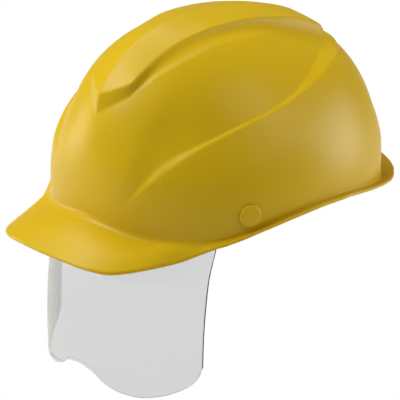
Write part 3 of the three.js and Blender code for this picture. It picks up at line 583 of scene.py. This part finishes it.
def make_camera():
    a, e = CAMERA_AZIMUTH, CAMERA_ELEVATION
    back = Vector((math.sin(a) * math.cos(e), -math.cos(a) * math.cos(e), math.sin(e)))
    camera = bpy.data.objects.new("camera", bpy.data.cameras.new("camera"))
    camera.data.lens = CAMERA_LENS
    camera.data.sensor_width = SENSOR_WIDTH
    camera.location = CAMERA_TARGET + back * CAMERA_DISTANCE
    camera.rotation_euler = (-back).to_track_quat("-Z", "Y").to_euler()
    bpy.context.scene.collection.objects.link(camera)
    bpy.context.scene.camera = camera


def camera_only(tree, colour, strength, surface):
    """Adds light that only the camera and clear pieces see, so that the studio stays white."""
    path = add_node(tree, "ShaderNodeLightPath")
    seen = add_node(tree, "ShaderNodeMath", [(path.outputs["Is Camera Ray"], 0),
                                             (path.outputs["Is Transmission Ray"], 1)], operation="MAXIMUM")
    glow = add_node(tree, "ShaderNodeEmission" if surface else "ShaderNodeBackground", Strength=strength)
    glow.inputs["Color"].default_value = (*colour, 1)
    return seen.outputs["Value"], glow.outputs[0]


def make_floor():
    bpy.ops.mesh.primitive_plane_add(size=12, location=(0, 0, CAD_LOW.z - 0.0005))
    floor = bpy.context.object
    floor.name = "floor"
    material, tree, shader = new_material("floor", (0.84, 0.84, 0.84), 0.8)
    seen, glow = camera_only(tree, (1, 1, 1), 1.0, True)
    both = add_node(tree, "ShaderNodeMixShader", [(seen, 0), (shader.outputs[0], 1), (glow, 2)])
    tree.links.new(both.outputs[0], tree.nodes["Material Output"].inputs["Surface"])
    floor.data.materials.append(material)


def add_light(name, direction, distance, size, power, colour=(1, 1, 1)):
    data = bpy.data.lights.new(name, "AREA")
    data.shape = "RECTANGLE"
    data.size, data.size_y = size
    data.energy = power
    data.color = colour
    light = bpy.data.objects.new(name, data)
    light.location = Vector(direction).normalized() * distance
    light.rotation_euler = (-Vector(direction)).to_track_quat("-Z", "Y").to_euler()
    bpy.context.scene.collection.objects.link(light)


def make_light():
    world = bpy.data.worlds.new("studio")
    bpy.context.scene.world = world
    world.use_nodes = True
    tree = world.node_tree
    dim = tree.nodes["Background"]
    dim.inputs["Color"].default_value = (1.0, 0.97, 0.9, 1)
    dim.inputs["Strength"].default_value = 0.12
    seen, glow = camera_only(tree, (1, 1, 1), 1.0, False)
    both = add_node(tree, "ShaderNodeMixShader", [(seen, 0), (dim.outputs[0], 1), (glow, 2)])
    tree.links.new(both.outputs[0], tree.nodes["World Output"].inputs["Surface"])
    add_light("front_softbox", (-0.32, -0.55, 0.77), 1.7, (0.9, 0.9), 20, (0.97, 1.0, 0.86))
    add_light("top_softbox", (-0.45, 0.1, 0.9), 1.7, (1.0, 0.8), 9, (0.97, 1.0, 0.86))
    add_light("rear_softbox", (0.5, 0.87, 0.12), 1.6, (0.7, 0.7), 9, (0.98, 1.0, 0.9))
    add_light("left_softbox", (0.7, 0.4, 0.55), 1.6, (0.8, 0.8), 5, (1.0, 0.96, 0.85))
    add_light("right_softbox", (-0.87, -0.5, 0.05), 1.4, (0.6, 0.5), 4, (1.0, 1.0, 0.92))
    bpy.context.scene.view_settings.view_transform = "Standard"


# ---------- shell ----------
def make_shell(columns=600):
    angle = (np.arange(columns) + 0.5) * 2 * math.pi / columns
    rim = rim_height(angle)
    tilts = np.radians(np.linspace(0.8, 85, 176))
    rows = [shell_point(angle, CROWN_HEIGHT * np.cos(d) + 0 * angle, 0) for d in tilts]
    foot = CROWN_HEIGHT * math.cos(tilts[-1])
    fillet = root_fillet(angle)
    for t in np.linspace(0, 1, 14)[1:-1]:
        rows.append(shell_point(angle, mix(foot, rim + fillet, t), 0))
    rows += rim_rows(angle)
    rows.append(shell_point(angle, rim - 1.5, WALL))
    for t in np.linspace(0, 1, 9)[1:]:
        rows.append(shell_point(angle, mix(rim - 0.9, foot, t), WALL))
    for d in tilts[::-1][2::2]:
        height = np.minimum(CROWN_HEIGHT * np.cos(d), CROWN_HEIGHT - 0.4)
        rows.append(shell_point(angle, height + 0 * angle, WALL))
    vertices = np.concatenate(rows)
    faces = ring_faces(len(rows), columns)
    faces.append(list(range(columns)))
    faces.append([(len(rows) - 1) * columns + j for j in range(columns)][::-1])
    shell = outward(mesh_from("shell_moulding", vertices, faces, MATERIALS["shell_yellow"], "helmet"))
    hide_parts("shell")
    return shell


# ---------- face shield ----------
def shield_plan(x):
    """Distance of the sheet behind its front, and its outward direction, at the given half width."""
    across = np.abs(x) / SHIELD_RADIUS
    reach = (1 - across**SHIELD_POWER) ** (1 / SHIELD_POWER)
    normal = np.stack([np.sign(x) * across ** (SHIELD_POWER - 1), -(reach ** (SHIELD_POWER - 1))], axis=-1)
    return SHIELD_RADIUS * (1 - reach), normal / np.linalg.norm(normal, axis=-1, keepdims=True)


def shield_point(across, up, depth):
    level = mix(SHIELD_LOW_Z, SHIELD_TOP_Z, up)
    narrowing = (SHIELD_HALF_WIDTH - SHIELD_TOP_HALF_WIDTH) * smooth(-22, SHIELD_TOP_Z, level)
    x = across * (SHIELD_HALF_WIDTH - narrowing)
    edge = through(SHIELD_EDGE, np.abs(across) * SHIELD_HALF_WIDTH)
    z = level + (edge - SHIELD_LOW_Z) * (1 - up) ** 3
    back, normal = shield_plan(x)
    bow = (z - SHIELD_BELLY_Z) ** 2 / (2 * SHIELD_BOW) + SHIELD_SETBACK * smooth(-45, -12, z)
    y = SHIELD_FRONT_Y + bow + back
    return np.stack([x - depth * normal[..., 0], y - depth * normal[..., 1], z], axis=-1)


def make_face_shield():
    """The clear sheet, with a rounded bead moulded along its edge."""
    rows, columns = 120, 140
    u = np.linspace(-1, 1, columns + 1)[None, :] * np.ones((rows + 1, 1))
    v = np.linspace(0, 1, rows + 1)[:, None] * np.ones((1, columns + 1))
    shape = shield_point(u, v, 0)
    to_side = (1 - np.abs(u)) * SHIELD_HALF_WIDTH * 1.25
    to_end = np.minimum(v, 1 - v) * (SHIELD_TOP_Z - SHIELD_LOW_Z)
    from_edge = np.minimum(to_side, to_end)
    bead = 0.35 * smooth(2.3, 1.5, from_edge)
    rounding = np.where(from_edge < 0.9, 0.5 * (1 - np.sqrt(clamp01(1 - (1 - from_edge / 0.9) ** 2))), 0)
    shape = shield_point(u, v, -bead + rounding)
    inner = shield_point(u, v, SHIELD_THICKNESS + bead - rounding)
    sheet = plate_object("face_shield_sheet", shape, inner, MATERIALS["clear_sheet"], "shield")
    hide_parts("face_shield")
    return sheet


# ---------- side pins ----------
def make_side_pins():
    z = np.array(PIN_Z)
    angles = np.linspace(-math.pi / 2, math.pi / 2, 20001)
    angle = np.interp(PIN_Y, base_point(angles, z + 0 * angles)[:, 1], angles)
    seat = shell_point(np.array(angle), z, 0)
    inward = -base_normal(np.array(angle), z)
    profile = [(0.0, 0.0001), (0.02, 3.0), (0.08, 5.4), (0.2, 6.1), (0.42, 6.7), (0.75, 7.15),
               (1.1, 7.35), (1.6, 7.4), (2.1, 7.4), (2.12, 2.5), (12.6, 2.5)]
    for side, name in ((1, "left"), (-1, "right")):
        flip = np.array([side, 1, 1])
        start = (seat - inward * PIN_PROUD) * flip
        yellow = MATERIALS["shell_yellow"]
        pin = turned_object(f"side_pin_cap_{name}", start, inward * flip, profile, yellow, "helmet")
        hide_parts(f"side_pin_{name}")


# ---------- headband, straps and liner ----------
def band_point(angle, inset, z):
    c, n = np.cos(angle), np.sin(angle)
    normal = np.stack([c / BAND_HALF_WIDTH, n / BAND_HALF_LENGTH], axis=-1)
    normal = normal / np.linalg.norm(normal, axis=-1, keepdims=True)
    x = BAND_HALF_WIDTH * c - inset * normal[..., 0]
    y = BAND_CENTRE_Y + BAND_HALF_LENGTH * n - inset * normal[..., 1]
    return np.stack([x, y, z + 0 * x], axis=-1)


def stand_for(obj, node):
    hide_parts(node)
    return obj


def make_headband(columns=360):
    """Moulded band with a rounded edge all round."""
    angle = np.arange(columns) * 2 * math.pi / columns
    top = through(BAND_TOP, folded_degrees(angle))
    middle, half = BAND_THICKNESS / 2, BAND_THICKNESS / 2
    rows = []
    for turn in np.linspace(-math.pi, 0, 9):
        height = BAND_LOW_Z + half + half * math.sin(turn)
        rows.append(band_point(angle, -middle + half * math.cos(turn), height))
    for turn in np.linspace(0, math.pi, 9):
        height = top - half + half * math.sin(turn)
        rows.append(band_point(angle, -middle + half * math.cos(turn), height))
    faces = ring_faces(len(rows), columns, looped=True)
    vertices = np.concatenate(rows)
    band = outward(mesh_from("headband_moulding", vertices, faces, MATERIALS["dark_plastic"], "helmet"))
    stand_for(band, "headband")


def make_crown_straps():
    """Woven straps, thicker in the middle than at their edges."""
    for number, (turn, start) in enumerate(STRAPS):
        angle = math.radians(turn)
        inset = STRAP_INSET + STRAP_STACK * number
        across = np.array([-BAND_HALF_WIDTH * math.sin(angle), BAND_HALF_LENGTH * math.cos(angle), 0])
        across *= STRAP_WIDTH / 2 / np.linalg.norm(across)
        climb = np.radians(np.linspace(start, 180 - start, 181))[:, None]
        side = np.linspace(-1, 1, 17)[None, :]
        rim = 0.45 * np.abs(side) ** 6

        def layer(depth):
            shrink = 1 - (inset + depth) / BAND_HALF_WIDTH
            x = BAND_HALF_WIDTH * math.cos(angle) * np.cos(climb) * shrink
            y = BAND_CENTRE_Y + BAND_HALF_LENGTH * math.sin(angle) * np.cos(climb) * shrink
            z = (HEAD_HEIGHT - inset - depth) * np.sin(climb)
            return np.stack([x, y, z], axis=-1) + side[..., None] * across

        strap = plate_object(f"crown_strap_web_{number + 1}", layer(rim), layer(STRAP_THICKNESS - rim),
                             MATERIALS["webbing"], "helmet")
        stand_for(strap, f"crown_strap_{number + 1}")


def make_impact_liner():
    """Moulded foam with rounded edges and vent grooves on its inner side."""
    u = np.linspace(0, 1, 181)[None, :]
    v = np.linspace(0, 1, 71)[:, None]
    z = mix(LINER_LOW_Z, LINER_HIGH_Z, v)
    half, _, _, centre = plan_section(z)
    start = np.arcsin(clamp01((LINER_FRONT_Y - centre) / half))
    angle = mix(start, math.pi - start, u)
    z = z + 0 * angle
    from_edge = np.minimum(np.minimum(u, 1 - u) * 200, np.minimum(v, 1 - v) * (LINER_HIGH_Z - LINER_LOW_Z))
    near = 1 - np.minimum(from_edge, LINER_EDGE) / LINER_EDGE
    rounding = LINER_ROUNDING * (1 - np.sqrt(clamp01(1 - near**2)))
    comb = np.abs(np.cos(math.pi * LINER_GROOVES * u)) ** 24
    groove = LINER_GROOVE_DEPTH * comb * smooth(0.08, 0.2, v) * smooth(0.92, 0.8, v)
    place, normal = base_point(angle, z), base_normal(angle, z)
    outer = place - normal * (LINER_DEPTHS[0] + rounding)[..., None]
    inner = place - normal * (LINER_DEPTHS[1] - rounding - groove)[..., None]
    liner = plate_object("impact_liner_foam", outer, inner, MATERIALS["foam"], "helmet")
    stand_for(liner, "impact_liner")


# ---------- pads ----------
def coordinates(mesh):
    flat = np.zeros(len(mesh.vertices) * 3, dtype=np.float32)
    mesh.vertices.foreach_get("co", flat)
    return flat.reshape(-1, 3).astype(float)


def baked(obj):
    """Mesh of the object as its modifiers leave it."""
    return bpy.data.meshes.new_from_object(obj.evaluated_get(bpy.context.evaluated_depsgraph_get()))


def stuffed(obj, voxel, swell):
    """Blows the pad up as stuffed cloth; no point moves further than swell."""
    remesh = obj.modifiers.new("remesh", "REMESH")
    remesh.mode = "VOXEL"
    remesh.voxel_size = voxel * MM
    obj.data = baked(obj)
    obj.modifiers.clear()
    scene = bpy.context.scene
    cloth = obj.modifiers.new("cloth", "CLOTH")
    cloth.settings.use_pressure = True
    cloth.settings.uniform_pressure_force = 4
    cloth.settings.effector_weights.gravity = 0
    for number in range(1, 21):
        scene.frame_set(number)
    before, after = coordinates(obj.data), coordinates(baked(obj))
    obj.modifiers.clear()
    scene.frame_set(1)
    move = after - before
    length = np.linalg.norm(move, axis=1, keepdims=True)
    move *= np.minimum(1, swell * MM / np.maximum(length, 1e-9))
    obj.data.vertices.foreach_set("co", (before + move).astype(np.float32).ravel())
    obj.data.update()
    finer = obj.modifiers.new("finer", "SUBSURF")
    finer.levels = 1
    obj.data = baked(obj)
    obj.modifiers.clear()


def stitched(obj, seam_heights, depth):
    """Presses sewn lines into both faces of a band-shaped pad."""
    points = coordinates(obj.data) / MM
    angle = np.arctan2((points[:, 1] - BAND_CENTRE_Y) / BAND_HALF_LENGTH, points[:, 0] / BAND_HALF_WIDTH)
    normal = band_point(angle, -1, 0) - band_point(angle, 0, 0)
    inset = -np.sum((points - band_point(angle, 0, points[:, 2])) * normal, axis=1)
    middle = (inset.min() + inset.max()) / 2
    press = sum(np.exp(-((points[:, 2] - z) / 0.7) ** 2) for z in seam_heights(angle))
    points += normal * (np.sign(inset - middle) * depth * np.minimum(press, 1))[:, None]
    obj.data.vertices.foreach_set("co", (points * MM).astype(np.float32).ravel())
    obj.data.update()


def pad_on_band(name, reach, columns, insets, edges, body):
    """Thin block along the headband, a little smaller than the stuffed pad."""
    angle = np.linspace(reach[0], reach[1], columns)[None, :]
    low, high = edges(angle)
    z = mix(low + PAD_SWELL, high - PAD_SWELL, np.linspace(0, 1, 13)[:, None])
    angle = angle + 0 * z
    outer = band_point(angle, insets[0] + PAD_SWELL, z)
    inner = band_point(angle, insets[1] - PAD_SWELL, z)
    return plate_object(name, outer, inner, MATERIALS["sweat_cloth"], body)


def finish_pad(pad, node, seams, body):
    stuffed(pad, 0.9, PAD_SWELL)
    stitched(pad, seams, 0.5)
    pad.data.polygons.foreach_set("use_smooth", [True] * len(pad.data.polygons))
    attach(pad, body)
    stand_for(pad, node)


def make_sweatband():
    def edges(angle):
        return BAND_LOW_Z + 1 + 0 * angle, np.minimum(12, through(BAND_TOP, folded_degrees(angle)) - 1)

    def seams(angle):
        low, high = edges(angle)
        return low + 2.6, high - 2.6

    pad = pad_on_band("sweatband_pad", np.radians((-135.4, -44.6)), 140, (0.4, 4.0), edges, None)
    finish_pad(pad, "sweatband", seams, "helmet")


def make_ratchet_cover():
    reach = math.radians(18)

    def edges(angle):
        half = 12.5 - 5 * smooth(0.6, 1, np.abs(angle - math.pi / 2) / reach)
        return NAPE_Z - half, NAPE_Z + half

    def seams(angle):
        low, high = edges(angle)
        return low + 2.8, high - 2.8

    ends = (math.pi / 2 - reach + 0.008, math.pi / 2 + reach - 0.008)
    pad = pad_on_band("ratchet_cover_pad", ends, 70, (3.3, 7.3), edges, None)
    finish_pad(pad, "ratchet_cover", seams, "nape")


make_camera()
make_floor()
make_light()
dress_cad_nodes()
make_shell()
make_face_shield()
make_side_pins()
make_headband()
make_crown_straps()
make_impact_liner()
make_sweatband()
make_ratchet_cover()
